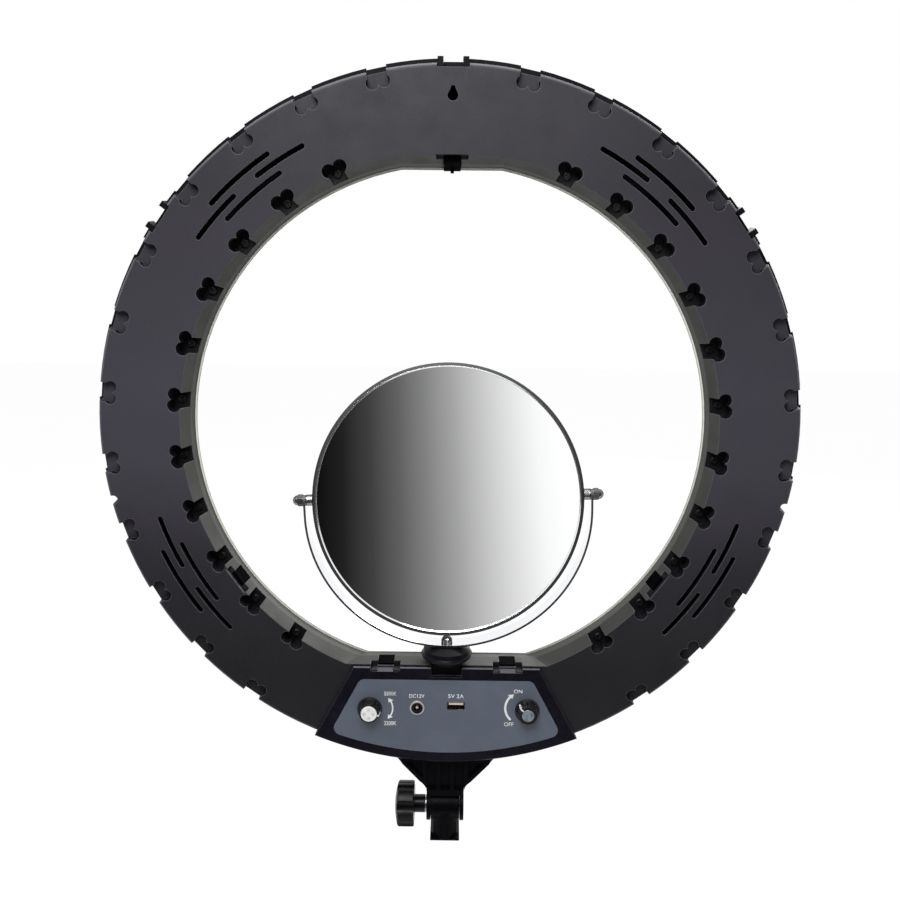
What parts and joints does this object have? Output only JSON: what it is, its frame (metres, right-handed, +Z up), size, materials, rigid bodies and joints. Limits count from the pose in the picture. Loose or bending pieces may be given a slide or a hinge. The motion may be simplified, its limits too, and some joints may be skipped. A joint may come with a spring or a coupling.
{
  "type": "led ring light",
  "caption": "Round LED ring light seen from behind, with dimming controls on a rear panel, a swivelling double-sided make-up mirror and a tilting stand bracket.",
  "frame": {"origin": "centre of the mouth of the stand socket, where the light sits on a stand's stud", "axes": "+X to the right seen from behind the light, +Y from the back to the glowing front, +Z up"},
  "size_m": [0.524, 0.0578, 0.5886],
  "materials": {
    "housing": "textured charcoal moulding",
    "front_rim": "satin",
    "diffuser": "translucent white, satin",
    "clip": "satin",
    "screw_steel": "zinc plated",
    "black_screw": "black oxide",
    "light_board": "white solder mask",
    "daylight_led": "pale yellow phosphor",
    "warm_led": "amber phosphor",
    "panel": "gloss",
    "label": "slate film with white print",
    "driver_board": "green solder mask",
    "component": "moulded black",
    "lead": "red insulation",
    "pot": "drawn can",
    "shaft": "turned",
    "knob": "gloss",
    "knob_cap": "spun bright",
    "pointer": "white paint",
    "plug_metal": "nickel plated",
    "socket_plastic": "moulded black",
    "usb_metal": "plated",
    "arm": "semi gloss",
    "chrome": "bright plating",
    "plain_mirror": "silvered",
    "core": "moulded",
    "bowl": "satin"
  },
  "bodies": {
    "stand_socket": {"stand_socket": "arm"},
    "stud_lock": {"stud_lock_screw": "screw_steel", "stud_lock_knob": "arm"},
    "head": {"rear_cover": "housing", "front_rim": "front_rim", "diffuser": "diffuser", "inner_clips": "clip", "cover_screws": "black_screw", "led_board": "light_board", "daylight_leds": "daylight_led", "warm_leds": "warm_led", "control_panel": "panel", "panel_label": "label", "panel_screws": "screw_steel", "driver_board": "driver_board", "driver_components": "component", "board_screws": "screw_steel", "output_leads": "lead", "temperature_pot": "pot", "brightness_pot": "pot", "pot_nuts": "plug_metal", "dc_jack_body": "socket_plastic", "dc_jack_pin": "plug_metal", "dc_jack_nut": "plug_metal", "usb_shell": "usb_metal", "usb_tongue": "socket_plastic", "mount_arm": "arm", "arm_screws": "black_screw", "tilt_nut": "screw_steel", "mirror_base": "bowl", "mirror_foot": "bowl", "base_screw": "screw_steel", "yoke_dome_nut": "chrome"},
    "tilt_knob": {"tilt_knob": "arm", "tilt_bolt": "screw_steel", "tilt_washer": "screw_steel"},
    "temperature_knob": {"temperature_knob": "knob", "temperature_shaft": "shaft", "temperature_knob_cap": "knob_cap", "temperature_pointer": "pointer"},
    "brightness_knob": {"brightness_knob": "knob", "brightness_shaft": "shaft", "brightness_knob_cap": "knob_cap", "brightness_pointer": "pointer"},
    "yoke": {"mirror_yoke": "chrome"},
    "mirror": {"mirror_frame": "chrome", "mirror_glass_plain": "plain_mirror", "mirror_glass_magnifying": "plain_mirror", "mirror_core": "core", "mirror_pins": "chrome", "pivot_spacers": "chrome", "pivot_washers": "chrome", "pivot_cap_nuts": "chrome"}
  },
  "joints": [
    {"name": "head_tilt", "type": "hinge", "parent": "stand_socket", "child": "head", "pos_m": [0, 0, 0.0244], "axis": [1, 0, 0], "range_deg": [-90, 90]},
    {"name": "stud_lock_turn", "type": "hinge", "parent": "stand_socket", "child": "stud_lock", "pos_m": [0, 0.018, 0.008], "axis": [0, 1, 0], "continuous": true},
    {"name": "tilt_knob_turn", "type": "hinge", "parent": "head", "child": "tilt_knob", "pos_m": [-0.03, 0, 0.0244], "axis": [1, 0, 0], "continuous": true},
    {"name": "temperature_turn", "type": "hinge", "parent": "head", "child": "temperature_knob", "pos_m": [-0.0583, -0.017, 0.1126], "axis": [0, 1, 0], "range_deg": [-155, 115]},
    {"name": "brightness_turn", "type": "hinge", "parent": "head", "child": "brightness_knob", "pos_m": [0.062, -0.017, 0.1126], "axis": [0, 1, 0], "range_deg": [-90, 180]},
    {"name": "yoke_swivel", "type": "hinge", "parent": "head", "child": "yoke", "pos_m": [0, -0.005, 0.1592], "axis": [0, 0, 1], "continuous": true},
    {"name": "mirror_swing", "type": "hinge", "parent": "yoke", "child": "mirror", "pos_m": [-0.00035, -0.005, 0.27719], "axis": [0.9994, 0, 0.0349], "continuous": true}
  ]
}
